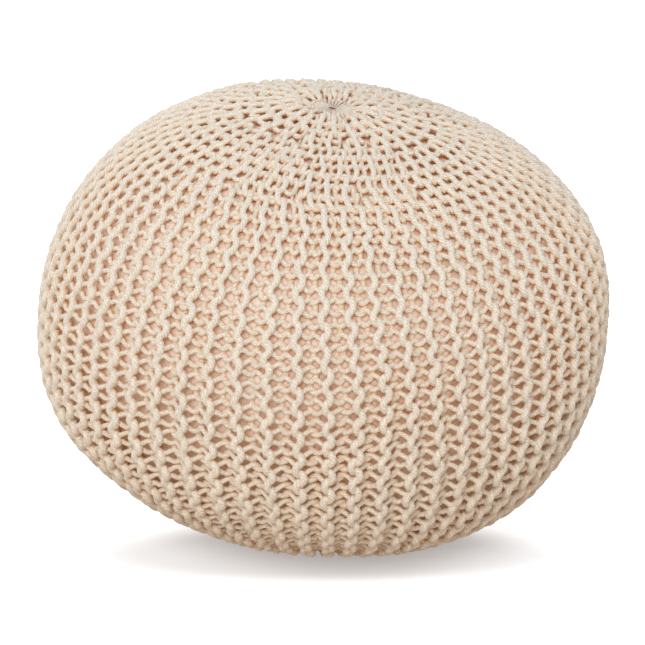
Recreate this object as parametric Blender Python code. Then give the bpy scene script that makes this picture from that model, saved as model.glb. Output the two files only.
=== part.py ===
"""Knitted pouf: a garter-stitch cover, ribbed from pole to pole, over a round filled casing.

Metres, +Z up. The pouf stands on z = 0, and its front faces -Y. Both pieces follow one body
form: a slightly lopsided superellipsoid that is flattened where it rests.
"""

import math

import bmesh
import bpy
from mathutils import Vector

# The body form, measured over the tops of the ribs.
RADIUS = 0.250
CROWN_HEIGHT = 0.1985  # from the widest ring up to the upper pole
BELLY_DEPTH = 0.1865  # from the widest ring down to the lower pole, before it is flattened
CROWN_FULLNESS = 2.22  # superellipse exponents: 2 is an ellipse, and more is fuller
BELLY_FULLNESS = 2.41
LEAN = 0.044  # how far the body leans to +X for each metre up
CROWN_DIP = 0.107  # slope of the crown at its pole, down to +X
BELLY_DIP = 0.073  # slope of the belly half way down, down to +X
WAIST_HEIGHT = 0.1775  # height of the widest ring above the floor
FLOOR_BLEND = 0.003  # half the height over which the belly turns into the flat base

# The gathered poles.
DIMPLE_DEPTH = 0.007
DIMPLE_RADIUS = 0.016
PUCKER_HEIGHT = 0.003  # the swelling round the dimple
PUCKER_RADIUS = 0.034
LUMP_HEIGHT = 0.0045  # two tufts of gathered knit behind the upper dimple
LUMP_RADIUS = 0.0085
LUMP_PLACES = ((-0.012, 0.040), (0.009, 0.040))

# The knit wall.
RIBS = 64  # ridges at the widest ring
RIB_DEPTH = 0.0045
SPOKE_DEPTH = 0.0020  # depth of the ridges at the poles
SPOKE_REACH = 0.150  # distance from the pole at which they have their full depth
RIB_ENDS = (0.0, 0.080, 0.0, 0.150, 0.074, 0.0, 0.086, 0.156)  # from the pole; 0 reaches it
RIB_END_STAGGER = 0.17
RIB_FADE = 0.080  # length over which a rib narrows to its end
NARROWEST_RIB = 0.50  # share of its width that the mesh keeps of a rib past its end
FRONT_RIB = 48
FRONT_AZIMUTH = math.radians(-89.5)
FRONT_LEVEL = 0.34  # distance from the upper pole at which the front rib is in its place
SWIRL = 0.26  # how far the ribs turn, in radians for each metre down
CROWDED_AZIMUTH = math.radians(-58.0)
CROWDED_WIDTH = math.radians(22.0)
CROWDING = 0.12
WALL = 0.0105  # from the tops of the ribs to the cavity
BASE_WALL = 0.0055  # the knit is pressed thin under the pouf
EYE_RADIUS = 0.011
EYE_SIDES = 16
EYE_CUT = 0.042  # height of the eye's cutter, which stands half below the floor

# The casing in the cavity.
CLEARANCE = 0.0003

# Mesh fineness.
COVER_RINGS = 30
CASING_RINGS = 18
CASING_SEGMENTS = 48
POLE_CROWDING = 0.35  # 0 spaces the rings evenly, and more draws them to the poles
SLOPE_STEP = 1e-4

COVER_COLOUR = (0.72, 0.61, 0.46, 1.0)
CASING_COLOUR = (0.55, 0.36, 0.25, 1.0)


def body_point(polar, azimuth):
    """Point of the body form, before it is flattened. polar runs from 0 at the top to pi."""
    up = math.cos(polar)
    out = max(math.sin(polar), 0.0)
    if up >= 0:
        height, fullness = CROWN_HEIGHT, CROWN_FULLNESS
        dip = CROWN_DIP * up * up
    else:
        height, fullness = BELLY_DEPTH, BELLY_FULLNESS
        dip = BELLY_DIP * 4 * up * up * out * out
    radius = RADIUS * out ** (2 / fullness)
    z = math.copysign(height * abs(up) ** (2 / fullness), up)
    x = radius * math.cos(azimuth)
    y = radius * math.sin(azimuth)
    return Vector((x + LEAN * z, y, z - x * dip))


def body_normal(polar, azimuth):
    """Outward unit normal of the body form."""
    polar = min(max(polar, 2 * SLOPE_STEP), math.pi - 2 * SLOPE_STEP)
    down = body_point(polar + SLOPE_STEP, azimuth) - body_point(polar - SLOPE_STEP, azimuth)
    around = body_point(polar, azimuth + SLOPE_STEP) - body_point(polar, azimuth - SLOPE_STEP)
    return down.cross(around).normalized()


def rested(point, floor):
    """The point in the pouf's own frame, with the belly pressed flat on the given level."""
    z = point.z + WAIST_HEIGHT
    above = z - floor
    if above <= -FLOOR_BLEND:
        z = floor
    elif above < FLOOR_BLEND:
        z = floor + (above + FLOOR_BLEND) ** 2 / (4 * FLOOR_BLEND)
    return Vector((point.x, point.y, z))


def smooth_step(value):
    """0 below 0 and 1 above 1, with a soft start and end between."""
    value = min(max(value, 0.0), 1.0)
    return value * value * (3 - 2 * value)


def rib_kept(rib, from_pole):
    """How much is left of a rib, from 1 to 0, as short rows narrow the knit towards a pole."""
    end = RIB_ENDS[rib % len(RIB_ENDS)]
    if end == 0:
        return 1.0
    end *= 1 + RIB_END_STAGGER * ((rib * 5 % 7) / 3 - 1)
    return smooth_step((from_pole - end) / RIB_FADE + 0.5)


def rib_widths(from_pole):
    """Relative widths of the ribs at this distance from the nearer pole."""
    widths = []
    for rib in range(RIBS):
        azimuth = 2 * math.pi * rib / RIBS
        away = math.remainder(azimuth - CROWDED_AZIMUTH, 2 * math.pi) / CROWDED_WIDTH
        share = 1 - CROWDING * math.exp(-away * away)
        kept = NARROWEST_RIB + (1 - NARROWEST_RIB) * rib_kept(rib, from_pole)
        widths.append(share * kept)
    return widths


def valleys(arc, length):
    """Azimuths of the valleys at this distance from the upper pole, one before each rib."""
    front = rib_widths(min(FRONT_LEVEL, length / 2))
    before_front = (sum(front[:FRONT_RIB]) + front[FRONT_RIB] / 2) / sum(front)
    azimuth = FRONT_AZIMUTH - 2 * math.pi * before_front + SWIRL * (arc - FRONT_LEVEL)
    widths = rib_widths(min(arc, length - arc))
    azimuths = [azimuth]
    for width in widths:
        azimuth += 2 * math.pi * width / sum(widths)
        azimuths.append(azimuth)
    return azimuths


def columns(arc, length):
    """Azimuth and depth of each column of the knit: a valley, then the crest of its rib."""
    from_pole = min(arc, length - arc)
    deep = SPOKE_DEPTH + (RIB_DEPTH - SPOKE_DEPTH) * smooth_step(from_pole / SPOKE_REACH)
    azimuths = valleys(arc, length)
    result = []
    for rib in range(RIBS):
        result.append((azimuths[rib], deep))
        crest = (azimuths[rib] + azimuths[rib + 1]) / 2
        result.append((crest, deep * (1 - rib_kept(rib, from_pole))))
    return result


def gather(x, y, above):
    """Swelling (+) or dimple (-) round a gathered pole, at a place beside the pouf's axis."""
    from_axis = math.hypot(x, y)
    dimple = DIMPLE_DEPTH * math.exp(-((from_axis / DIMPLE_RADIUS) ** 2))
    swelling = PUCKER_HEIGHT * math.exp(-(((from_axis - PUCKER_RADIUS) / DIMPLE_RADIUS) ** 2))
    if above:
        for lump_x, lump_y in LUMP_PLACES:
            away = math.hypot(x - lump_x, y - lump_y) / LUMP_RADIUS
            swelling += LUMP_HEIGHT * math.exp(-away * away)
    return swelling - dimple


def ring_angle(ring, rings):
    """Polar angle of a ring, the rings lying closer together towards the poles."""
    turn = 2 * math.pi * ring / rings
    return (turn - POLE_CROWDING * math.sin(turn)) / 2


def ring_distances(rings):
    """Distance over the surface from the upper pole down to each ring."""
    points = [body_point(ring_angle(ring, rings), math.pi / 2) for ring in range(rings + 1)]
    distances = [0.0]
    for above, below in zip(points, points[1:]):
        distances.append(distances[-1] + (below - above).length)
    return distances


def even_grid(rings, segments):
    """Azimuth and depth of each column of a smooth body, by ring."""
    return [[(2 * math.pi * column / segments, 0.0) for column in range(segments)]] * (rings + 1)


def ribbed_grid(rings):
    """Azimuth and depth of each column of the ribbed knit, by ring."""
    distances = ring_distances(rings)
    return [columns(arc, distances[-1]) for arc in distances]


def soft_body(grid, inset, floor):
    """The body form over a grid, inset along its normals and pressed flat at the given level."""
    rings, segments = len(grid) - 1, len(grid[0])
    mesh = bmesh.new()
    bmesh.ops.create_uvsphere(mesh, u_segments=segments, v_segments=rings, radius=1.0)
    for vertex in mesh.verts:
        ring = round(math.acos(max(-1.0, min(1.0, vertex.co.z))) / math.pi * rings)
        column = round(math.atan2(vertex.co.y, vertex.co.x) / (2 * math.pi) * segments) % segments
        polar = ring_angle(ring, rings)
        azimuth, relief = grid[ring][column]
        point = body_point(polar, azimuth)
        depth = inset + relief - gather(point.x - LEAN * point.z, point.y, ring < rings / 2)
        vertex.co = rested(point - body_normal(polar, azimuth) * depth, floor)
    # One way of splitting the bent quads keeps the casing parallel to its cavity.
    bmesh.ops.triangulate(mesh, faces=mesh.faces, quad_method="FIXED")
    bmesh.ops.recalc_face_normals(mesh, faces=mesh.faces)
    return mesh


def add_object(name, mesh, collection):
    """An object of this mesh, shaded smooth, in the collection."""
    data = bpy.data.meshes.new(name)
    mesh.to_mesh(data)
    mesh.free()
    data.shade_smooth()
    result = bpy.data.objects.new(name, data)
    collection.objects.link(result)
    return result


def add_collection(name):
    """A new collection in the scene."""
    collection = bpy.data.collections.new(name)
    bpy.context.scene.collection.children.link(collection)
    return collection


def cloth_material(name, colour, roughness):
    """A plain matte material."""
    result = bpy.data.materials.new(name)
    result.use_nodes = True
    shader = result.node_tree.nodes["Principled BSDF"]
    shader.inputs["Base Color"].default_value = colour
    shader.inputs["Roughness"].default_value = roughness
    shader.inputs["Metallic"].default_value = 0.0
    result.diffuse_color = colour
    return result


def cut(target, cutter, name):
    """Takes the cutter's shape out of the target."""
    cutter.hide_render = True
    cutter.display_type = "WIRE"
    modifier = target.modifiers.new(name, "BOOLEAN")
    modifier.operation = "DIFFERENCE"
    modifier.solver = "EXACT"
    modifier.object = cutter


def knitted_cover(collection, cutters):
    """The knit: a hollow wall with raised ribs, and a small eye where its lower end is gathered."""
    outside = soft_body(ribbed_grid(COVER_RINGS), 0.0, 0.0)
    cover = add_object("knitted_cover", outside, collection)
    cover.data.materials.append(cloth_material("cotton_cord", COVER_COLOUR, 0.9))

    cavity_mesh = soft_body(even_grid(CASING_RINGS, CASING_SEGMENTS), WALL, BASE_WALL)
    cut(cover, add_object("cavity", cavity_mesh, cutters), "cavity")

    eye_mesh = bmesh.new()
    bmesh.ops.create_cone(
        eye_mesh,
        cap_ends=True,
        segments=EYE_SIDES,
        radius1=EYE_RADIUS,
        radius2=EYE_RADIUS,
        depth=EYE_CUT,
    )
    eye = add_object("eye", eye_mesh, cutters)
    eye.location.x = body_point(math.pi, 0.0).x
    cut(cover, eye, "eye")
    return cover


def filled_casing(collection):
    """The stuffed bag in the cover, as one filled solid."""
    grid = even_grid(CASING_RINGS, CASING_SEGMENTS)
    mesh = soft_body(grid, WALL + CLEARANCE, BASE_WALL + CLEARANCE)
    casing = add_object("filled_casing", mesh, collection)
    casing.data.materials.append(cloth_material("casing_cloth", CASING_COLOUR, 0.85))
    return casing


def main():
    """Clears the scene and models the pouf."""
    for leftover in list(bpy.data.objects):
        bpy.data.objects.remove(leftover, do_unlink=True)
    pouf = add_collection("knitted_pouf")
    cutters = add_collection("cutters")
    knitted_cover(pouf, cutters)
    filled_casing(pouf)


if __name__ == "__main__":
    main()
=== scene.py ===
"""Knitted pouf: a cover of thick cotton cord in garter stitch over a filled cloth casing.

The cover is knitted sideways. Its courses run from pole to pole, so every second pair of courses
stands out as a ridge, and short courses narrow the work towards both poles, where it is gathered.
Metres, +Z up. The pouf stands on z = 0, and its front faces -Y.
"""

import logging
import math
from dataclasses import dataclass, field
from enum import Enum

import bmesh
import bpy
import numpy as np
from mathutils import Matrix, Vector


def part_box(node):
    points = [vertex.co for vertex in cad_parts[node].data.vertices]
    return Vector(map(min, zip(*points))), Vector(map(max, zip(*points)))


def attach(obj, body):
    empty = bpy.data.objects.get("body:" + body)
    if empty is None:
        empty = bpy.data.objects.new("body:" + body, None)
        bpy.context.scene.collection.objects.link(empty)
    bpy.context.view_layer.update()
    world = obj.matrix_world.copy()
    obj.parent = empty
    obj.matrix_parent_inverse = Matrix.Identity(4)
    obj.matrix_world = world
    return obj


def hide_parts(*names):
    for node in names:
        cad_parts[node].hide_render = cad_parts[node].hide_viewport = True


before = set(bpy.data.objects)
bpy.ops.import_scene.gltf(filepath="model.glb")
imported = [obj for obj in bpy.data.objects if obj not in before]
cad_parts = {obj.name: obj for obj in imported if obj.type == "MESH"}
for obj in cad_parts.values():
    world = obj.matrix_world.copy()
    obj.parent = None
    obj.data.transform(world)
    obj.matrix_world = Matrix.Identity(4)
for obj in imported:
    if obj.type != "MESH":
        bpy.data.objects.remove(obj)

log = logging.getLogger("knitted_pouf")

Pair = tuple[float, float]
Triple = tuple[float, float, float]
Colour = Triple
Levels = tuple[float, ...]
Array = np.ndarray
Socket = bpy.types.NodeSocket
TURN = 2 * math.pi
BODY = "root"
COVER_NODE = "knitted_cover"
CASING_NODE = "filled_casing"

# Distances over the surface from the upper pole. The knit and the casing change from one to the
# next, and every row of values that is typed Levels has one value for each.
LEVELS: Levels = (0.0, 0.10, 0.22, 0.32, 0.40, 0.47)


class Course(Enum):
    """The two kinds of course that garter stitch alternates. The value is the face of its heads."""

    KNIT = 1
    PURL = -1


def smooth_step(value: Array) -> Array:
    """0 below 0 and 1 above 1, with a soft start and end between."""
    held = np.clip(value, 0.0, 1.0)
    return held * held * (3 - 2 * held)


def at_level(values: Levels, arc: Array) -> Array:
    """One row of values at the levels, by the distance from the upper pole."""
    return np.interp(arc, LEVELS, values)


# ------------------------------------------------------------------------------- node trees


class Sheet:
    """A node tree under construction, which adds nodes and links what they are given."""

    def __init__(self, tree: bpy.types.NodeTree) -> None:
        """Starts on a tree, from which any nodes are cleared."""
        self.tree = tree
        tree.nodes.clear()

    def add(self, kind: str, inputs: dict | None = None, **settings: object) -> bpy.types.Node:
        """Adds one node.

        Args:
            kind: The node's type name.
            inputs: Values or sockets, by the names or numbers of the node's inputs.
            **settings: The node's own properties, set before its inputs.

        Returns:
            The new node.
        """
        node = self.tree.nodes.new(kind)
        for name, value in settings.items():
            setattr(node, name, value)
        for key, value in (inputs or {}).items():
            self.feed(node.inputs[key], value)
        return node

    def out(self, kind: str, inputs: dict | None = None, **settings: object) -> Socket:
        """Adds one node, and returns its first output."""
        return self.add(kind, inputs, **settings).outputs[0]

    def feed(self, socket: Socket, value: object) -> None:
        """Links a socket to an input, or sets the input's own value.

        Args:
            socket: The input.
            value: A socket or a plain value.
        """
        if isinstance(value, Socket):
            self.tree.links.new(value, socket)
        else:
            socket.default_value = value

    def math(self, operation: str, *values: object) -> Socket:
        """A Math node on one to three numbers.

        Args:
            operation: The node's operation.
            *values: Numbers or sockets.

        Returns:
            The result's socket.
        """
        return self.out("ShaderNodeMath", dict(enumerate(values)), operation=operation)

    def ranged(
        self,
        value: Socket,
        given: Pair = (0.0, 1.0),
        wanted: Pair = (0.0, 1.0),
        passing: str = "LINEAR",
    ) -> Socket:
        """A Map Range node, which holds the result between its ends.

        Args:
            value: The number.
            given: What becomes the first and the second end.
            wanted: The two ends.
            passing: How it passes from one to the other.

        Returns:
            The result's socket.
        """
        ends = zip(("From Min", "From Max", "To Min", "To Max"), given + wanted)
        inputs = {"Value": value, **dict(ends)}
        return self.out("ShaderNodeMapRange", inputs, interpolation_type=passing)

    def mix(self, factor: Socket, first: object, second: Colour) -> Socket:
        """A mix of two colours.

        Args:
            factor: How much of the second there is.
            first: A colour with its alpha, or a socket.
            second: A colour.

        Returns:
            The colour's socket.
        """
        colours = {0: factor, 6: first, 7: (*second, 1.0)}
        return self.add("ShaderNodeMix", colours, data_type="RGBA").outputs[2]

    def ramp(self, value: Socket, stops: dict[float, Colour]) -> Socket:
        """A colour ramp.

        Args:
            value: The number that is looked up.
            stops: Three colours or more by their places from 0 to 1, in order.

        Returns:
            The colour's socket.
        """
        node = self.add("ShaderNodeValToRGB", {0: value})
        elements = node.color_ramp.elements
        places = list(stops)
        for place in places[1:-1]:
            elements.new(place)
        for element, place in zip(elements, places):
            element.position = place
            element.color = (*stops[place], 1.0)
        return node.outputs[0]

    def vector(self, operation: str, *values: object) -> Socket:
        """A Vector Math node, which may take a number as its last value for SCALE.

        Args:
            operation: The node's operation.
            *values: Vectors or sockets.

        Returns:
            The result's socket: the number for DOT_PRODUCT and LENGTH, and else the vector.
        """
        node = self.add("ShaderNodeVectorMath", operation=operation)
        if operation == "SCALE":
            self.feed(node.inputs["Vector"], values[0])
            self.feed(node.inputs["Scale"], values[1])
        else:
            for place, value in enumerate(values):
                self.feed(node.inputs[place], value)
        return node.outputs["Value" if operation in ("DOT_PRODUCT", "LENGTH") else "Vector"]

    def combined(self, *parts: object) -> Socket:
        """The vector of three numbers."""
        return self.out("ShaderNodeCombineXYZ", dict(enumerate(parts)))

    def named(self, name: str, kind: str = "FLOAT") -> Socket:
        """What the geometry carries under a name."""
        return self.out("GeometryNodeInputNamedAttribute", {"Name": name}, data_type=kind)

    def store(self, geometry: Socket, name: str, value: Socket, kind: str = "FLOAT") -> Socket:
        """Gives the geometry's points a named value.

        Args:
            geometry: The geometry.
            name: The attribute's name.
            value: The value's socket.
            kind: The attribute's data type.

        Returns:
            The geometry that carries it.
        """
        inputs = {"Geometry": geometry, "Name": name, "Value": value}
        writer = "GeometryNodeStoreNamedAttribute"
        return self.out(writer, inputs, data_type=kind, domain="POINT")


def add_sockets(tree: bpy.types.NodeTree, direction: str, kinds: dict[str, str]) -> None:
    """Adds named sockets to a tree's interface.

    Args:
        tree: The node group.
        direction: INPUT or OUTPUT.
        kinds: The socket type by the socket's name.
    """
    for name, kind in kinds.items():
        tree.interface.new_socket(name=name, in_out=direction, socket_type=kind)


# ---------------------------------------------------------------------------------- the form


@dataclass(frozen=True)
class BodyForm:
    """The round of the pouf over the tops of its ridges: a lopsided superellipsoid, flat below."""

    radius: float
    crown_height: float = 0.1985
    belly_depth: float = 0.1865
    waist_height: float = 0.1775
    crown_fullness: float = 2.22
    belly_fullness: float = 2.41
    lean: float = 0.044
    crown_dip: float = 0.107
    belly_dip: float = 0.073
    floor_blend: float = 0.003
    dimple_depth: float = 0.0005
    dimple_radius: float = 0.012
    pucker_height: float = 0.003
    pucker_radius: float = 0.034
    lump_height: float = 0.0026
    lump_radius: float = 0.0085
    lump_places: tuple[Pair, ...] = ((-0.012, 0.040), (0.009, 0.040))
    samples: int = 2000
    step: float = 1e-3

    @classmethod
    def from_frame(cls) -> "BodyForm":
        """The form at the size of the CAD cover."""
        low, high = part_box(COVER_NODE)
        return cls(radius=(high.x - low.x) / 2)

    def point(self, polar: Array, azimuth: Array) -> Array:
        """Points of the form before it is flattened.

        Args:
            polar: Angle from the upper pole, 0 to pi.
            azimuth: Angle round the axis from +X.

        Returns:
            An array of points, with the widest ring at z = 0.
        """
        up, out = np.cos(polar), np.maximum(np.sin(polar), 0.0)
        above = up >= 0
        height = np.where(above, self.crown_height, self.belly_depth)
        power = 2 / np.where(above, self.crown_fullness, self.belly_fullness)
        dip = np.where(above, self.crown_dip * up * up, self.belly_dip * 4 * up * up * out * out)
        radius = self.radius * out**power
        z = np.copysign(height * np.abs(up) ** power, up)
        x, y = radius * np.cos(azimuth), radius * np.sin(azimuth)
        return np.stack([x + self.lean * z, y, z - x * dip], axis=-1)

    def gather(self, from_axis: Array) -> Array:
        """How the knit swells (+) and dimples (-) round a gathered pole.

        Args:
            from_axis: Distance from the axis.

        Returns:
            The height over the plain form.
        """
        dimple = self.dimple_depth * np.exp(-((from_axis / self.dimple_radius) ** 2))
        swelling = np.exp(-(((from_axis - self.pucker_radius) / self.dimple_radius) ** 2))
        return self.pucker_height * swelling - dimple

    def skin(
        self, polar: Array, azimuth: Array, inset: Array | float, lumps: bool = True
    ) -> Array:
        """Points of a surface inside the form, rested on the level of its own inset.

        Args:
            polar: Angle from the upper pole.
            azimuth: Angle round the axis.
            inset: Distance in from the tops of the ridges.
            lumps: Whether it follows the lumps of the gathered knit beside the upper pole.

        Returns:
            An array of points in the pouf's own frame.
        """
        edge = 2 * self.step
        polar = np.clip(polar, edge, math.pi - edge)
        point = self.point(polar, azimuth)
        down = self.point(polar + self.step, azimuth) - self.point(polar - self.step, azimuth)
        around = self.point(polar, azimuth + self.step) - self.point(polar, azimuth - self.step)
        normal = np.cross(down, around)
        normal /= np.linalg.norm(normal, axis=-1, keepdims=True)
        aside = point[..., 0] - self.lean * point[..., 2]
        depth = inset - self.gather(np.hypot(aside, point[..., 1]))
        for x, y in self.lump_places if lumps else ():
            away = np.hypot(aside - x, point[..., 1] - y) / self.lump_radius
            depth = depth - self.lump_height * np.exp(-(away**2)) * (point[..., 2] > 0)
        point = point - normal * np.asarray(depth)[..., None]
        return self.rested(point, inset)

    def rested(self, point: Array, floor: Array | float) -> Array:
        """Lifts points to the pouf's own height and presses the belly flat.

        Args:
            point: Points with the widest ring at z = 0.
            floor: The level below which nothing goes.

        Returns:
            The points in the pouf's own frame.
        """
        z = point[..., 2] + self.waist_height
        above = np.clip(z - floor + self.floor_blend, 0.0, 2 * self.floor_blend)
        pressed = floor + above**2 / (4 * self.floor_blend)
        z = np.where(z - floor < self.floor_blend, pressed, z)
        return np.stack([point[..., 0], point[..., 1], z], axis=-1)

    def frames(
        self, polar: Array, azimuth: Array, inset: Array | float
    ) -> tuple[Array, Array, Array, Array]:
        """Points of a surface inside the form, with the directions of the knit there.

        Args:
            polar: Angle from the upper pole.
            azimuth: Angle round the axis.
            inset: Distance in from the tops of the ridges.

        Returns:
            The points, the unit vectors down the surface and across it, and the length that one
            radian of azimuth has there.
        """
        point = self.skin(polar, azimuth, inset)
        down = self.skin(polar + self.step, azimuth, inset) - self.skin(
            polar - self.step, azimuth, inset
        )
        around = self.skin(polar, azimuth + self.step, inset) - self.skin(
            polar, azimuth - self.step, inset
        )
        reach = np.linalg.norm(around, axis=-1) / (2 * self.step)
        down /= np.linalg.norm(down, axis=-1, keepdims=True)
        around /= np.linalg.norm(around, axis=-1, keepdims=True)
        return point, down, around, reach

    def arc_table(self) -> tuple[Array, Array]:
        """Distances over the surface.

        Returns:
            The polar angles, and the distance from the upper pole at each.
        """
        polar = np.linspace(0.0, math.pi, self.samples)
        ring = self.point(polar, np.full_like(polar, math.pi / 2))
        steps = np.linalg.norm(np.diff(ring, axis=0), axis=1)
        return polar, np.concatenate([[0.0], np.cumsum(steps)])


# -------------------------------------------------------------------------- how it is knitted


@dataclass(frozen=True)
class Gauge:
    """The size of a stitch: long where the knit is gathered, short where it is stretched wide."""

    gathered_pitch: float = 0.0252
    stretched_pitch: float = 0.0182
    crown_change: Pair = (0.087, 0.321)
    belly_change: Pair = (0.352, 0.542)

    def pitch(self, arc: Array) -> Array:
        """Length of a stitch along its ridge.

        Args:
            arc: Distance from the upper pole.

        Returns:
            The pitch at each distance.
        """
        crown = smooth_step((self.crown_change[1] - arc) / np.ptp(self.crown_change))
        belly = smooth_step((arc - self.belly_change[0]) / np.ptp(self.belly_change))
        spare = self.gathered_pitch - self.stretched_pitch
        return self.stretched_pitch + spare * (crown + belly)

    def counts(self, arc: Array) -> Array:
        """Number of stitches down from the upper pole.

        Args:
            arc: Rising distances from the upper pole.

        Returns:
            The number at each distance.
        """
        rate = 1 / self.pitch(arc)
        steps = np.diff(arc) * (rate[1:] + rate[:-1]) / 2
        return np.concatenate([[0.0], np.cumsum(steps)])


@dataclass(frozen=True)
class RidgeLayout:
    """Where the ridges run. Each is two courses, and short ones end before the poles."""

    ridges: int = 64
    front_ridge: int = 48
    front_azimuth: float = math.radians(-89.5)
    front_level: float = 0.34
    swirl: float = 0.26
    pole_end: float = 0.0045
    ends: tuple[float, ...] = (0.0, 0.060, 0.006, 0.112, 0.054, 0.0, 0.066, 0.118)
    low_share: float = 0.45
    stagger: float = 0.20
    fade: float = 0.040
    emerging: float = 0.31
    crowded_azimuth: float = math.radians(-58.0)
    crowded_width: float = math.radians(22.0)
    crowding: float = 0.12

    def end(self, ridge: int) -> float:
        """Where a ridge ends.

        Args:
            ridge: The ridge's number.

        Returns:
            The distance from the upper pole.
        """
        end = self.ends[ridge % len(self.ends)]
        # Seven shifts from -1 to 1, of which neighbours get ones that lie far apart.
        shift = (ridge * 5 % 7) / 3 - 1
        return end * (1 + self.stagger * shift) if end else self.pole_end

    def starts(self, ridge: int) -> Pair:
        """Where a ridge's line starts and ends.

        Args:
            ridge: The ridge's number.

        Returns:
            The distances from the upper and from the lower pole.
        """
        end = self.end(ridge)
        if end == self.pole_end:
            return end, end
        return end + self.emerging * self.fade, self.low_share * end + self.emerging * self.fade

    def widths(self, arc: Array, length: float) -> Array:
        """Relative width of every ridge, by row, at each distance from the upper pole.

        Args:
            arc: Distances from the upper pole.
            length: Distance from pole to pole.

        Returns:
            One row a ridge.
        """
        rows = []
        for ridge in range(self.ridges):
            azimuth = TURN * ridge / self.ridges
            away = math.remainder(azimuth - self.crowded_azimuth, TURN) / self.crowded_width
            share = 1 - self.crowding * math.exp(-away * away)
            kept = np.ones_like(arc)
            if self.ends[ridge % len(self.ends)]:
                end = self.end(ridge)
                above = smooth_step((arc - end) / self.fade)
                below = smooth_step((length - arc - self.low_share * end) / self.fade)
                kept = above * below
            rows.append(share * kept)
        return np.array(rows)

    def borders(self, arc: Array, length: float) -> Array:
        """Azimuths of the valleys, by row, at each distance from the upper pole.

        Args:
            arc: Distances from the upper pole.
            length: Distance from pole to pole.

        Returns:
            One row more than there are ridges: ridge i lies between rows i and i + 1.
        """
        widths = self.widths(arc, length)
        sums = np.vstack([np.zeros_like(arc), np.cumsum(widths, axis=0)])
        turned = TURN * sums / sums[-1]
        here = self.widths(np.array([self.front_level]), length)[:, 0]
        middle = here[: self.front_ridge].sum() + here[self.front_ridge] / 2
        start = self.front_azimuth - TURN * middle / here.sum()
        return start + turned + self.swirl * (arc - self.front_level)


@dataclass(frozen=True)
class LooseRow:
    """A stretch of one row where the stitches are pulled apart."""

    level: float
    azimuth: float
    reach: float
    gap: float
    hollow: float = 0.0
    blend: float = 0.005
    soft_end: float = 0.4
    shift_blends: float = 8.0
    dent_blends: float = 2.0

    def share(self, azimuth: Array) -> Array:
        """How much each azimuth lies in the row's reach, from 0 to 1."""
        away = np.remainder(azimuth - self.azimuth + math.pi, TURN) - math.pi
        return smooth_step((self.reach - np.abs(away)) / (self.soft_end * self.reach))

    def shift(self, arc: Array, azimuth: Array) -> Array:
        """How far down each place of the knit is pushed.

        Args:
            arc: Distance from the upper pole.
            azimuth: Angle round the axis.

        Returns:
            The distance over the surface.
        """
        fall = np.exp(-(((arc - self.level) / (self.shift_blends * self.blend)) ** 2))
        step = np.tanh((arc - self.level) / self.blend)
        return self.gap / 2 * step * self.share(azimuth) * fall

    def dent(self, arc: Array, azimuth: Array) -> Array:
        """How far the casing gives way behind the row."""
        fall = np.exp(-(((arc - self.level) / (self.dent_blends * self.blend)) ** 2))
        return self.hollow * self.share(azimuth) * fall


LOOSE_ROWS = (
    LooseRow(0.226, math.radians(-48.0), math.radians(36.0), gap=0.0034),
    LooseRow(0.218, math.radians(-67.0), math.radians(13.0), gap=0.0016, hollow=0.006),
    LooseRow(0.217, math.radians(-80.5), math.radians(5.0), gap=0.0060),
    LooseRow(0.120, math.radians(-75.0), math.radians(9.0), gap=0.0040),
)


@dataclass(frozen=True)
class Cord:
    """The cord and the path that it takes through a stitch."""

    radius: float = 0.00252
    sides: int = 7
    steps: int = 17
    insets: Levels = (0.0036, 0.0044, 0.0062, 0.0062, 0.0076, 0.0094)
    thicknesses: Levels = (1.0, 0.88, 1.01, 1.05, 1.07, 1.10)
    swellings: Levels = (0.0, 0.04, 0.15, 0.18, 0.20, 0.20)
    spreads: Levels = (0.20, 0.20, 0.20, 0.20, 0.19, 0.18)
    ridge_heights: Levels = (0.0005, 0.0009, 0.0026, 0.0036, 0.0046, 0.0032)
    overlaps: Levels = (-0.0045, 0.0046, 0.0050, 0.0052, 0.0060, 0.0064)
    rise: float = 0.0016
    point: float = 0.08
    ridge_swelling: float = 26.0
    overlap_share: float = 0.5
    closest: float = 0.95
    end_fade: float = 1.5
    turn_steps: int = 4
    thinnest: float = 0.24
    end_sink: float = 0.0042
    end_reach: float = 1.2
    end_thinning: float = 0.3


@dataclass(frozen=True)
class Unevenness:
    """How far the knit strays from its even lines: slow drift of rows, and jitter of stitches."""

    drift: float = 0.008
    drift_scale: float = 14.0
    drift_seed: float = 4.0
    jitter: float = 0.0035
    jitter_scale: float = 90.0
    jitter_seed: float = 11.0
    support: float = 0.7


class Attribute(Enum):
    """Names of what each point of a course's line carries into the stitch tree."""

    DOWN = "down"
    ACROSS = "across"
    PHASE = "phase"
    SWAY = "sway"
    SPREAD = "spread"
    RISE = "rise"
    LATERAL = "lateral"
    CELL = "cell"
    THICKNESS = "thickness"
    SWELLING = "swelling"
    RELIEF = "relief"


DIRECTIONS = (Attribute.DOWN, Attribute.ACROSS)

# What the finished cord carries for its material: the way round it, and the length along it.
CORD_RUN = "cord_run"


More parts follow.
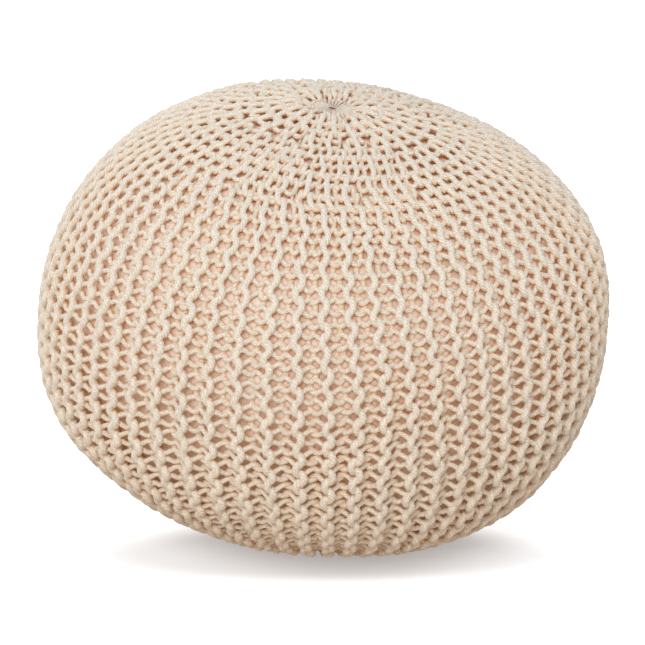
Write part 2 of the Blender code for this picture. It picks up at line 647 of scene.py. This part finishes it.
class StitchTree:
    """The Geometry Nodes that lay the cord through its stitches along the course lines."""

    def __init__(self, sizes: dict[str, float | int]) -> None:
        """Builds the node group, whose inputs are the sizes and the cord's material.

        Args:
            sizes: The sizes, by the names of their inputs.
        """
        self.tree = bpy.data.node_groups.new("garter_stitch", "GeometryNodeTree")
        self.sheet = sheet = Sheet(self.tree)
        kinds = {
            name: "NodeSocketInt" if isinstance(value, int) else "NodeSocketFloat"
            for name, value in sizes.items()
        }
        geometry = {"Geometry": "NodeSocketGeometry"}
        add_sockets(self.tree, "INPUT", geometry | kinds | {"Material": "NodeSocketMaterial"})
        add_sockets(self.tree, "OUTPUT", geometry)
        self.given = sheet.add("NodeGroupInput").outputs
        self.carried = {
            item: sheet.named(item.value, "FLOAT_VECTOR" if item in DIRECTIONS else "FLOAT")
            for item in Attribute
        }
        self.outward = sheet.vector("CROSS_PRODUCT", *map(self.carried.get, DIRECTIONS))
        offset, wave = self.path()
        moved = {"Geometry": self.given["Geometry"], "Offset": self.strayed(offset)}
        lines = sheet.out("GeometryNodeSetPosition", moved)
        curve = sheet.out("GeometryNodeMeshToCurve", {"Mesh": lines})
        along = sheet.add("GeometryNodeSplineParameter").outputs["Length"]
        tube = self.tube(sheet.store(curve, "run", along), self.thickness(wave))
        for finish in ("GeometryNodeSetShadeSmooth", "GeometryNodeRealizeInstances"):
            tube = sheet.out(finish, {"Geometry": tube})
        dressed = {"Geometry": tube, "Material": self.given["Material"]}
        sheet.add("NodeGroupOutput", {"Geometry": sheet.out("GeometryNodeSetMaterial", dressed)})

    def path(self) -> tuple[Socket, Socket]:
        """The path of one stitch: legs lean out into a round head, and pass over and under.

        Returns:
            How far the cord is moved from its line, and how high on its ridge it lies there, from
            -1 in the valley to 1 at the top.
        """
        sheet, carried = self.sheet, self.carried
        ahead = sheet.math("SINE", sheet.math("MULTIPLY", carried[Attribute.PHASE], 2.0))
        ahead = sheet.math("MULTIPLY", ahead, carried[Attribute.SPREAD])
        once = sheet.math("COSINE", carried[Attribute.PHASE])
        thrice = sheet.math("COSINE", sheet.math("MULTIPLY", carried[Attribute.PHASE], 3.0))
        aside = sheet.math("SUBTRACT", thrice, once)
        aside = sheet.math("MULTIPLY_ADD", aside, self.given["Point"], once)
        aside = sheet.math("MULTIPLY", aside, carried[Attribute.SWAY])
        aside = sheet.math("MULTIPLY", aside, -1.0)
        weave = sheet.math("MULTIPLY", thrice, carried[Attribute.RISE])
        weave = sheet.math("MULTIPLY", weave, sheet.math("MULTIPLY", self.given["Rise"], -1.0))
        from_ridge = sheet.math("ADD", carried[Attribute.LATERAL], aside)
        wave = sheet.math("DIVIDE", from_ridge, carried[Attribute.CELL])
        wave = sheet.math("COSINE", sheet.math("MULTIPLY", wave, TURN))
        lift = sheet.math("MULTIPLY_ADD", wave, carried[Attribute.RELIEF], weave)
        offset = sheet.vector("SCALE", carried[Attribute.DOWN], ahead)
        sideways = sheet.vector("SCALE", carried[Attribute.ACROSS], aside)
        offset = sheet.vector("ADD", offset, sideways)
        return sheet.vector("ADD", offset, sheet.vector("SCALE", self.outward, lift)), wave

    def strayed(self, offset: Socket) -> Socket:
        """Adds slow drift of whole rows and small jitter of single stitches.

        Args:
            offset: How far the cord is moved from its line.

        Returns:
            The offset with both.
        """
        sheet = self.sheet
        place = sheet.out("GeometryNodeInputPosition")
        for size in ("Drift", "Jitter"):
            settings = {
                "Vector": place,
                "W": self.given[f"{size} Seed"],
                "Scale": self.given[f"{size} Scale"],
                "Detail": 0.0,
            }
            noise = sheet.add("ShaderNodeTexNoise", settings, noise_dimensions="4D")
            centred = sheet.vector("SUBTRACT", noise.outputs["Color"], (0.5, 0.5, 0.5))
            # The casing holds most of it up.
            depth = sheet.vector("DOT_PRODUCT", centred, self.outward)
            depth = sheet.math("MULTIPLY", depth, self.given["Support"])
            deep = sheet.vector("SCALE", self.outward, depth)
            centred = sheet.vector("SUBTRACT", centred, deep)
            offset = sheet.vector("ADD", offset, sheet.vector("SCALE", centred, self.given[size]))
        return offset

    def thickness(self, wave: Socket) -> Socket:
        """The cord's thickness: fuller in the heads of its stitches and on top of its ridge.

        Args:
            wave: How high on its ridge the cord lies.

        Returns:
            The share of the full radius.
        """
        sheet, carried = self.sheet, self.carried
        twice = sheet.math("COSINE", sheet.math("MULTIPLY", carried[Attribute.PHASE], 2.0))
        swollen = sheet.math("MULTIPLY_ADD", twice, carried[Attribute.SWELLING], 1.0)
        raised = sheet.math("MULTIPLY", wave, carried[Attribute.RELIEF])
        swollen = sheet.math("MULTIPLY_ADD", raised, self.given["Ridge Swelling"], swollen)
        return sheet.math("MULTIPLY", carried[Attribute.THICKNESS], swollen)

    def tube(self, curve: Socket, thickness: Socket) -> Socket:
        """The cord round its path, with what its material reads.

        Args:
            curve: The cord's path.
            thickness: The share of the full radius that the cord has at each point.

        Returns:
            The cord's geometry.
        """
        sheet, radius = self.sheet, self.given["Cord Radius"]
        place = sheet.out("GeometryNodeInputPosition")
        circle = {"Resolution": self.given["Cord Sides"], "Radius": radius}
        ring = sheet.out("GeometryNodeCurvePrimitiveCircle", circle, mode="RADIUS")
        around = sheet.vector("SCALE", place, sheet.math("DIVIDE", 1.0, radius))
        ring = sheet.store(ring, "around", around, "FLOAT_VECTOR")
        tube = sheet.out(
            "GeometryNodeCurveToMesh",
            {"Curve": curve, "Profile Curve": ring, "Scale": thickness, "Fill Caps": True},
        )
        # Pressed flat where the pouf stands on the floor.
        x, y, z = sheet.add("ShaderNodeSeparateXYZ", {0: place}).outputs
        pressed = sheet.combined(x, y, sheet.math("MAXIMUM", z, 0.0))
        tube = sheet.out("GeometryNodeSetPosition", {"Geometry": tube, "Position": pressed})
        around = sheet.named("around", "FLOAT_VECTOR")
        x, y, _ = sheet.add("ShaderNodeSeparateXYZ", {0: around}).outputs
        run = sheet.combined(x, y, sheet.named("run"))
        return sheet.store(tube, CORD_RUN, run, "FLOAT_VECTOR")


@dataclass
class KnittedCover:
    """The knit, made in sectors that each hold a few ridges."""

    form: BodyForm
    layout: RidgeLayout = field(default_factory=RidgeLayout)
    gauge: Gauge = field(default_factory=Gauge)
    cord: Cord = field(default_factory=Cord)
    uneven: Unevenness = field(default_factory=Unevenness)
    sectors: int = 8

    def __post_init__(self) -> None:
        """Works out the tables of distance and stitch number along a meridian."""
        self.polar, self.arc = self.form.arc_table()
        self.count = self.gauge.counts(self.arc)
        self.length = float(self.arc[-1])

    def course_line(self, ridge: int) -> dict[str | Attribute, Array]:
        """The line of one ridge's two courses, down one and up the other, before its stitches.

        Args:
            ridge: The ridge's number.

        Returns:
            What each point carries, by attribute, and under plain names the points themselves as
            "co" and the measures that they come from.
        """
        cord, layout = self.cord, self.layout
        top, bottom = layout.starts(ridge)
        first, last = np.interp([top, self.length - bottom], self.arc, self.count)
        number = np.linspace(first, last, round((last - first) * cord.steps))
        arc = np.interp(number, self.count, self.arc)
        borders = layout.borders(arc, self.length)[ridge : ridge + 2]
        middle, cell_angle = borders.mean(axis=0), borders[1] - borders[0]
        polar = np.interp(arc, self.arc, self.polar)
        deep = at_level(cord.insets, arc)
        reach = self.form.frames(polar, middle, deep)[3]
        course = cell_angle * reach / 2
        from_end = np.minimum(number - first, last - number)
        kept = smooth_step(from_end / cord.end_fade)
        sink = 0.0 if top == layout.pole_end else cord.end_sink
        tucked = 1 - smooth_step(from_end / cord.end_reach)
        thickness = np.clip(course / (2 * cord.radius), cord.thinnest, 1.0)
        thickness *= at_level(cord.thicknesses, arc) * (1 - cord.end_thinning * tucked)
        apart = np.maximum(course / 2, cord.radius * cord.closest * thickness)
        overlap = np.minimum(at_level(cord.overlaps, arc), cord.overlap_share * course)
        ridge_values = {
            "arc": arc,
            "middle": middle,
            "reach": reach,
            "apart": apart,
            "inset": deep + sink * tucked,
            Attribute.PHASE: TURN * number,
            Attribute.SWAY: np.maximum(course + overlap, 0.0) / 2 * kept,
            Attribute.SPREAD: at_level(cord.spreads, arc) * self.gauge.pitch(arc) * kept,
            Attribute.CELL: 2 * np.maximum(course, apart),
            Attribute.THICKNESS: thickness,
            Attribute.SWELLING: at_level(cord.swellings, arc),
            Attribute.RELIEF: at_level(cord.ridge_heights, arc),
        }

        stretches = []
        angle = np.linspace(0, math.pi, cord.turn_steps + 2)[1:-1]
        for kind in Course:
            side = -1 if kind is Course.KNIT else 1
            half = {key: values[::-side] for key, values in ridge_values.items()}
            # A half circle without a stitch turns the cord into the next course.
            turn = {key: np.full_like(angle, values[-1]) for key, values in half.items()}
            turn["arc"] = turn["arc"] - side * turn["apart"] * np.sin(angle)
            for plain in (Attribute.SWAY, Attribute.SPREAD, Attribute.SWELLING):
                turn[plain] = np.zeros_like(angle)
            for stretch, lean in ((half, 1.0), (turn, np.cos(angle))):
                lateral = side * stretch["apart"] * lean
                stretch[Attribute.LATERAL] = lateral
                stretch["azimuth"] = stretch["middle"] + lateral / stretch["reach"]
                stretch[Attribute.RISE] = kind.value * (stretch[Attribute.SWAY] > 0)
                stretches.append(stretch)

        line = {key: np.concatenate([part[key] for part in stretches]) for key in stretches[0]}
        for row in LOOSE_ROWS:
            line["arc"] = line["arc"] + row.shift(line["arc"], line["azimuth"])
        angle = np.interp(line["arc"], self.arc, self.polar)
        line["co"], down, across, _ = self.form.frames(angle, line["azimuth"], line["inset"])
        return line | {Attribute.DOWN: down, Attribute.ACROSS: across}

    def lines_object(self, name: str, ridges: range) -> bpy.types.Object:
        """An object whose edges are the closed lines of some ridges, with their attributes.

        Args:
            name: The piece's name.
            ridges: The ridges' numbers.

        Returns:
            The new object, linked to the scene.
        """
        lines = [self.course_line(ridge) for ridge in ridges]
        mesh = bpy.data.meshes.new(name)
        edges, start = [], 0
        for line in lines:
            places = np.arange(len(line["co"]))
            edges.append(np.stack([places, np.roll(places, -1)], axis=1) + start)
            start += len(places)
        mesh.from_pydata(
            np.concatenate([line["co"] for line in lines]).tolist(),
            np.concatenate(edges).tolist(),
            [],
        )
        for attribute in Attribute:
            values = np.concatenate([line[attribute] for line in lines])
            flat = values.ndim == 1
            kind = "FLOAT" if flat else "FLOAT_VECTOR"
            layer = mesh.attributes.new(attribute.value, kind, "POINT")
            layer.data.foreach_set("value" if flat else "vector", values.ravel().astype(np.float32))
        result = bpy.data.objects.new(name, mesh)
        bpy.context.scene.collection.objects.link(result)
        return result

    def sizes(self) -> dict[str, float | int]:
        """The stitch tree's sizes, by the names of its inputs."""
        cord, uneven = self.cord, self.uneven
        return {
            "Cord Radius": cord.radius,
            "Cord Sides": cord.sides,
            "Rise": cord.rise,
            "Point": cord.point,
            "Ridge Swelling": cord.ridge_swelling,
            "Drift": uneven.drift,
            "Drift Scale": uneven.drift_scale,
            "Drift Seed": uneven.drift_seed,
            "Jitter": uneven.jitter,
            "Jitter Scale": uneven.jitter_scale,
            "Jitter Seed": uneven.jitter_seed,
            "Support": uneven.support,
        }

    def sector(
        self, number: int, tree: bpy.types.NodeTree, material: bpy.types.Material
    ) -> bpy.types.Object:
        """One sector of the knit as a plain mesh.

        Args:
            number: The sector's number, counted from +X.
            tree: The stitch tree.
            material: The cord's material.

        Returns:
            The finished piece, which build then puts on the body.
        """
        share = self.layout.ridges // self.sectors
        ridges = range(number * share, (number + 1) * share)
        piece = self.lines_object(f"knit_sector_{number + 1}", ridges)
        modifier = piece.modifiers.new("stitches", "NODES")
        modifier.node_group = tree
        set_inputs(modifier, self.sizes() | {"Material": material})
        return baked(piece)

    def build(self, material: bpy.types.Material) -> list[bpy.types.Object]:
        """Knits the whole cover.

        Args:
            material: The cord's material.

        Returns:
            The sectors.
        """
        tree = StitchTree(self.sizes()).tree
        pieces = [self.sector(number, tree, material) for number in range(self.sectors)]
        for piece in pieces:
            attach(piece, BODY)
            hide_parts(COVER_NODE)
            log.info("%s: %d faces", piece.name, len(piece.data.polygons))
        return pieces


def set_inputs(modifier: bpy.types.NodesModifier, values: dict[str, object]) -> None:
    """Sets a Geometry Nodes modifier's inputs.

    Args:
        modifier: The modifier, with its group.
        values: The values by the names of the group's sockets.
    """
    for item in modifier.node_group.interface.items_tree:
        if item.item_type == "SOCKET" and item.in_out == "INPUT" and item.name in values:
            modifier[item.identifier] = values[item.name]


def baked(piece: bpy.types.Object) -> bpy.types.Object:
    """Turns what the modifiers make into the object's plain mesh.

    Args:
        piece: An object with live modifiers.

    Returns:
        The same object, with no modifier left.
    """
    graph = bpy.context.evaluated_depsgraph_get()
    made = bpy.data.meshes.new_from_object(piece.evaluated_get(graph))
    piece.modifiers.clear()
    drawn = piece.data
    piece.data = made
    made.name = piece.name
    bpy.data.meshes.remove(drawn)
    return piece


def coordinates(mesh: bpy.types.Mesh) -> Array:
    """A mesh's points.

    Args:
        mesh: The mesh.

    Returns:
        One point a row.
    """
    values = np.empty(len(mesh.vertices) * 3, dtype=np.float32)
    mesh.vertices.foreach_get("co", values)
    return values.reshape(-1, 3)


@dataclass
class FilledCasing:
    """The stuffed bag inside the knit."""

    form: BodyForm
    insets: Levels = (0.0094, 0.0092, 0.0092, 0.0098, 0.0150, 0.0205)
    rings: int = 96
    segments: int = 192
    evenness: float = 0.009
    pressure: float = 4.0
    frames: int = 20
    most_swelling: float = 0.0015

    def build(self, material: bpy.types.Material) -> bpy.types.Object:
        """Makes the casing.

        Args:
            material: The casing cloth's material.

        Returns:
            The finished piece, riding on the body.
        """
        piece = self.bag()
        piece.data.materials.append(material)
        self.swell(piece)
        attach(piece, BODY)
        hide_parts(CASING_NODE)
        log.info("%s: %d faces", piece.name, len(piece.data.polygons))
        return piece

    def bag(self) -> bpy.types.Object:
        """Lays a sphere's net close inside the knit.

        Returns:
            The closed piece, linked to the scene.
        """
        mesh = bmesh.new()
        bmesh.ops.create_uvsphere(mesh, u_segments=self.segments, v_segments=self.rings, radius=1)
        places = np.array([vertex.co for vertex in mesh.verts])
        polar = np.arccos(np.clip(places[:, 2], -1, 1))
        azimuth = np.arctan2(places[:, 1], places[:, 0])
        arc = np.interp(polar, *self.form.arc_table())
        inset = at_level(self.insets, arc)
        for row in LOOSE_ROWS:
            inset = inset + row.dent(arc, azimuth)
        points = self.form.skin(polar, azimuth, inset, lumps=False)
        for vertex, place in zip(mesh.verts, points):
            vertex.co = place
        bmesh.ops.recalc_face_normals(mesh, faces=mesh.faces)
        data = bpy.data.meshes.new("casing_bag")
        mesh.to_mesh(data)
        mesh.free()
        data.shade_smooth()
        piece = bpy.data.objects.new("casing_bag", data)
        bpy.context.scene.collection.objects.link(piece)
        return piece

    def swell(self, piece: bpy.types.Object) -> None:
        """Fills the cloth by a short simulation, and keeps its shape as the piece's mesh.

        Args:
            piece: The closed piece, linked to the scene.
        """
        scene = bpy.context.scene
        remesh = piece.modifiers.new("even", "REMESH")
        remesh.mode = "VOXEL"
        remesh.voxel_size = self.evenness
        baked(piece)
        start = coordinates(piece.data)
        cloth = piece.modifiers.new("filling", "CLOTH")
        cloth.settings.use_pressure = True
        cloth.settings.uniform_pressure_force = self.pressure
        cloth.settings.effector_weights.gravity = 0.0
        cloth.point_cache.frame_start, cloth.point_cache.frame_end = 1, self.frames
        for number in range(1, self.frames + 1):
            scene.frame_set(number)
        graph = bpy.context.evaluated_depsgraph_get()
        moved = coordinates(piece.evaluated_get(graph).data) - start
        piece.modifiers.clear()
        scene.frame_set(1)
        reach = np.linalg.norm(moved, axis=1, keepdims=True)
        moved *= self.most_swelling / np.maximum(reach, self.most_swelling)
        piece.data.vertices.foreach_set("co", (start + moved).ravel())
        smooth = piece.modifiers.new("smooth", "SUBSURF")
        smooth.levels = 1
        baked(piece)
        piece.data.shade_smooth()


# ------------------------------------------------------------------------------- finishes


def ply_group() -> bpy.types.NodeTree:
    """A shader group for plied cord: its height and the grooves between the strands.

    Returns:
        The node group.
    """
    tree = bpy.data.node_groups.new("plied_cord", "ShaderNodeTree")
    vectors = dict.fromkeys(("Run", "Place"), "NodeSocketVector")
    sizes = ["Plies", "Lay", "Roundness", "Fibre Stretch"]
    sizes += [f"{part} {size}" for part in ("Fibre", "Fleck") for size in ("Scale", "Weight")]
    add_sockets(tree, "INPUT", vectors | dict.fromkeys(sizes, "NodeSocketFloat"))
    add_sockets(tree, "OUTPUT", dict.fromkeys(("Height", "Flecks"), "NodeSocketFloat"))
    sheet = Sheet(tree)
    given = sheet.add("NodeGroupInput").outputs
    x, y, along = sheet.add("ShaderNodeSeparateXYZ", {0: given["Run"]}).outputs
    turns = sheet.math("DIVIDE", along, given["Lay"])
    angle = sheet.math("MULTIPLY_ADD", turns, TURN, sheet.math("ARCTAN2", y, x))
    half = sheet.math("MULTIPLY", given["Plies"], 0.5)
    strand = sheet.math("ABSOLUTE", sheet.math("SINE", sheet.math("MULTIPLY", angle, half)))
    rounded = sheet.math("POWER", strand, given["Roundness"])
    stretched = sheet.math("MULTIPLY", along, given["Fibre Stretch"])
    lying = sheet.combined(sheet.math("COSINE", angle), sheet.math("SINE", angle), stretched)
    fibres = sheet.out(
        "ShaderNodeTexNoise",
        {"Vector": lying, "Scale": given["Fibre Scale"], "Detail": 3.0, "Roughness": 0.65},
    )
    flecks = sheet.out(
        "ShaderNodeTexNoise",
        {"Vector": given["Place"], "Scale": given["Fleck Scale"], "Detail": 1.0},
    )
    height = sheet.math("MULTIPLY_ADD", fibres, given["Fibre Weight"], rounded)
    height = sheet.math("MULTIPLY_ADD", flecks, given["Fleck Weight"], height)
    sheet.add("NodeGroupOutput", {"Height": height, "Flecks": flecks})
    return tree


@dataclass(frozen=True)
class Textile:
    """A matt cord or cloth with painted shade and a painted glow where it lies deep in a gap of the
    knit.
    """

    name: str
    roughness: float
    relief: float
    hollow: float
    openings: Pair
    painted_glow: Colour
    sheen: float = 0.0

    def pattern(self, sheet: Sheet, tucked: Socket) -> tuple[Socket, Socket]:
        """The finish's own part of the material.

        Args:
            sheet: The material's nodes.
            tucked: How enclosed each place is, from 0 in the open to 1 at the bottom of a gap: how
                much shade and glow are painted there.

        Returns:
            The colour and the height.
        """
        raise NotImplementedError

    def material(self) -> bpy.types.Material:
        """Makes the material.

        Returns:
            The material.
        """
        result = bpy.data.materials.new(self.name)
        result.use_nodes = True
        sheet = Sheet(result.node_tree)
        # Painted shade: ambient occlusion marks the enclosed places, where the colour is painted
        # warmer and darker.
        around = sheet.add("ShaderNodeAmbientOcclusion", {"Distance": self.hollow}, samples=4)
        tucked = sheet.ranged(around.outputs["AO"], self.openings)
        colour, height = self.pattern(sheet, tucked)
        shader = sheet.out(
            "ShaderNodeBsdfPrincipled",
            {
                "Base Color": colour,
                "Roughness": self.roughness,
                "Sheen Weight": self.sheen,
                "Normal": sheet.out(
                    "ShaderNodeBump", {"Height": height, "Distance": self.relief}
                ),
                # Painted glow: the enclosed places emit a little warm light, standing in for light
                # that passes through the cord.
                "Emission Color": sheet.vector("SCALE", self.painted_glow, tucked),
                "Emission Strength": 1.0,
            },
        )
        sheet.add("ShaderNodeOutputMaterial", {"Surface": shader})
        return result


@dataclass(frozen=True)
class CottonCord(Textile):
    """Undyed cotton cord, plied from a few strands."""

    name: str = "cotton_cord"
    roughness: float = 0.92
    relief: float = 0.00032
    hollow: float = 0.009
    openings: Pair = (0.70, 0.15)
    # Painted glow in the gaps, standing in for light that passes through the cord.
    painted_glow: Colour = (0.040, 0.020, 0.007)
    sheen: float = 0.55
    colour: Colour = (0.83, 0.757, 0.65)
    # Painted shade: the warm brown that the cord is painted where it lies enclosed.
    tucked: Colour = (0.90, 0.59, 0.32)
    plies: float = 5.0
    lay: float = 0.016
    roundness: float = 0.6
    fibre_stretch: float = 160.0
    fibre_scale: float = 2.2
    fibre_weight: float = 0.6
    fleck_scale: float = 850.0
    fleck_weight: float = 0.8
    # Partly painted shade: the colour is darker in the grooves between the plies. It also varies at
    # random with the fibres and flecks.
    streaks_and_groove_shade: float = 0.13
    streak_heights: Pair = (0.8, 2.0)
    flecks: float = 0.15
    fleck_levels: Pair = (0.3, 0.7)

    def pattern(self, sheet: Sheet, tucked: Socket) -> tuple[Socket, Socket]:
        """Strands, fibres and flecks, with painted shade in the ply grooves and in the gaps.

        Args:
            sheet: The material's nodes.
            tucked: How enclosed each place is.

        Returns:
            The colour and the height.
        """
        plies = sheet.add("ShaderNodeGroup", node_tree=ply_group())
        for name, value in {
            "Run": sheet.add("ShaderNodeAttribute", attribute_name=CORD_RUN).outputs["Vector"],
            "Place": sheet.add("ShaderNodeTexCoord").outputs["Object"],
            "Plies": self.plies,
            "Lay": self.lay,
            "Roundness": self.roundness,
            "Fibre Stretch": self.fibre_stretch,
            "Fibre Scale": self.fibre_scale,
            "Fibre Weight": self.fibre_weight,
            "Fleck Scale": self.fleck_scale,
            "Fleck Weight": self.fleck_weight,
        }.items():
            sheet.feed(plies.inputs[name], value)
        height = plies.outputs["Height"]
        # Darker where the height is low: painted shade in the ply grooves, and random fibre and
        # fleck tone.
        spread = (1 - self.streaks_and_groove_shade, 1 + self.streaks_and_groove_shade)
        streaks_and_groove_shade = sheet.ranged(height, self.streak_heights, spread)
        spread = (1 - self.flecks, 1 + self.flecks)
        flecks = sheet.ranged(plies.outputs["Flecks"], self.fleck_levels, spread)
        plain = sheet.vector("SCALE", self.colour, sheet.math("MULTIPLY", streaks_and_groove_shade, flecks))
        # Painted shade: the enclosed parts of the cord are mixed towards the warm brown.
        return sheet.mix(tucked, plain, self.tucked), height


@dataclass(frozen=True)
class CasingCloth(Textile):
    """Plain pinkish cotton cloth."""

    name: str = "casing_cloth"
    roughness: float = 0.9
    relief: float = 0.00015
    hollow: float = 0.022
    openings: Pair = (0.45, 0.05)
    # Painted glow in the gaps.
    painted_glow: Colour = (0.060, 0.030, 0.010)
    colour: Colour = (0.94, 0.875, 0.84)
    # Painted shade: the cloth is painted warmer, then dark brown, the more enclosed it is.
    shaded: Colour = (0.96, 0.75, 0.56)
    shaded_at: float = 0.55
    deep: Colour = (0.56, 0.22, 0.06)
    thread: float = 0.0009
    patches: float = 0.05
    patch_scale: float = 55.0

    def pattern(self, sheet: Sheet, tucked: Socket) -> tuple[Socket, Socket]:
        """A plain weave with faint patches, and painted shade where the cloth is enclosed.

        Args:
            sheet: The material's nodes.
            tucked: How enclosed each place is.

        Returns:
            The colour and the height.
        """
        # Painted shade: the ramp runs from the cloth's own colour in the open to the painted shade
        # colours deep in the gaps.
        stops = {0.0: self.colour, self.shaded_at: self.shaded, 1.0: self.deep}
        mixed = sheet.ramp(tucked, stops)
        place = sheet.add("ShaderNodeTexCoord").outputs["Object"]
        patches = sheet.out(
            "ShaderNodeTexNoise", {"Vector": place, "Scale": self.patch_scale, "Detail": 4.0}
        )
        patches = sheet.ranged(patches, wanted=(1 - self.patches, 1 + self.patches))
        threads = sheet.vector("SINE", sheet.vector("SCALE", place, TURN / (2 * self.thread)))
        x, y, z = sheet.add("ShaderNodeSeparateXYZ", {0: threads}).outputs
        weave = sheet.math("MULTIPLY", sheet.math("ADD", x, y), z)
        return sheet.vector("SCALE", mixed, patches), weave


# --------------------------------------------------------------------------------- studio


@dataclass
class Studio:
    """A white floor, soft light and the camera."""

    aim: Vector
    elevation: float = math.radians(23.46)
    distance: float = 2.6
    focal_pixels: float = 2948.4
    frame_pixels: float = 645.0
    aim_pixel: Pair = (322.8, 317.0)
    sensor: float = 36.0
    key_from: Triple = (-0.14, -0.75, 0.66)
    key_strength: float = 1.30
    key_softness: float = math.radians(26.0)
    ambient: float = 1.21
    sky_slope: Triple = (-0.13, 0.0, -0.48)
    floor_size: float = 12.0
    floor_colour: Colour = (0.77, 0.80, 0.83)
    floor_lift: float = 0.31
    # Where the floor's painted shadow lies, and how it fades.
    shadow_middle: Triple = (0.0, 0.110, 0.0)
    shadow_reach: Triple = (0.26, 0.060, 1.0)
    shadow_edge: Pair = (0.55, 1.25)
    bounce: Colour = (0.59, 0.42, 0.265)

    def floor(self) -> None:
        """Makes the floor, which glows white to the camera, with a painted shadow round the pouf's
        foot.
        """
        bpy.ops.mesh.primitive_plane_add(size=self.floor_size)
        plane = bpy.context.object
        plane.name = "studio_floor"
        material = bpy.data.materials.new("studio_floor")
        material.use_nodes = True
        sheet = Sheet(material.node_tree)
        seen = sheet.add("ShaderNodeLightPath").outputs["Is Camera Ray"]
        shade = sheet.mix(seen, (*self.bounce, 1.0), self.floor_colour)
        matt = sheet.out("ShaderNodeBsdfDiffuse", {"Color": shade})
        # Painted shadow: to the camera the floor glows white, less so inside an ellipse in front of
        # and behind the foot, where a darker shadow shows.
        place = sheet.add("ShaderNodeTexCoord").outputs["Object"]
        away = sheet.vector("SUBTRACT", sheet.vector("ABSOLUTE", place), self.shadow_middle)
        away = sheet.vector("LENGTH", sheet.vector("DIVIDE", away, self.shadow_reach))
        lift = sheet.ranged(away, self.shadow_edge, (self.floor_lift, 1.0), "SMOOTHSTEP")
        lit = sheet.out("ShaderNodeEmission", {"Strength": sheet.math("MULTIPLY", seen, lift)})
        both = sheet.out("ShaderNodeAddShader", {0: matt, 1: lit})
        sheet.add("ShaderNodeOutputMaterial", {"Surface": both})
        plane.data.materials.append(material)

    def light(self) -> None:
        """Makes the even sky and the soft key light."""
        world = bpy.data.worlds.new("studio_sky")
        world.use_nodes = True
        sheet = Sheet(world.node_tree)
        direction = sheet.add("ShaderNodeTexCoord").outputs["Generated"]
        slope = sheet.vector("DOT_PRODUCT", direction, self.sky_slope)
        strength = sheet.math("MULTIPLY_ADD", slope, self.ambient, self.ambient)
        background = sheet.add("ShaderNodeBackground", {"Strength": strength})
        sheet.add("ShaderNodeOutputWorld", {"Surface": background.outputs[0]})
        bpy.context.scene.world = world
        data = bpy.data.lights.new("key", "SUN")
        data.energy = self.key_strength
        data.angle = self.key_softness
        lamp = bpy.data.objects.new("key", data)
        lamp.rotation_euler = Vector(self.key_from).to_track_quat("Z", "Y").to_euler()
        bpy.context.scene.collection.objects.link(lamp)

    def camera(self) -> None:
        """Places the camera at the photograph's angle."""
        data = bpy.data.cameras.new("camera")
        data.sensor_width = self.sensor
        data.lens = self.focal_pixels * self.sensor / self.frame_pixels
        middle = self.frame_pixels / 2
        data.shift_x = (middle - self.aim_pixel[0]) / self.frame_pixels
        data.shift_y = (self.aim_pixel[1] - middle) / self.frame_pixels
        camera = bpy.data.objects.new("camera", data)
        back = Vector((0.0, -math.cos(self.elevation), math.sin(self.elevation)))
        camera.location = self.aim + back * self.distance
        camera.rotation_euler = (-back).to_track_quat("-Z", "Y").to_euler()
        bpy.context.scene.collection.objects.link(camera)
        bpy.context.scene.camera = camera

    def build(self) -> None:
        """Sets the stage."""
        bpy.context.scene.view_settings.view_transform = "Standard"
        self.camera()
        self.floor()
        self.light()


def main() -> None:
    """Builds the pouf and its stage."""
    logging.basicConfig(level=logging.INFO, format="%(name)s: %(message)s")
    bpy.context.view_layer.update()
    form = BodyForm.from_frame()
    Studio(aim=Vector((0.0, 0.0, form.waist_height))).build()
    FilledCasing(form).build(CasingCloth().material())
    KnittedCover(form).build(CottonCord().material())


if __name__ == "__main__":
    main()
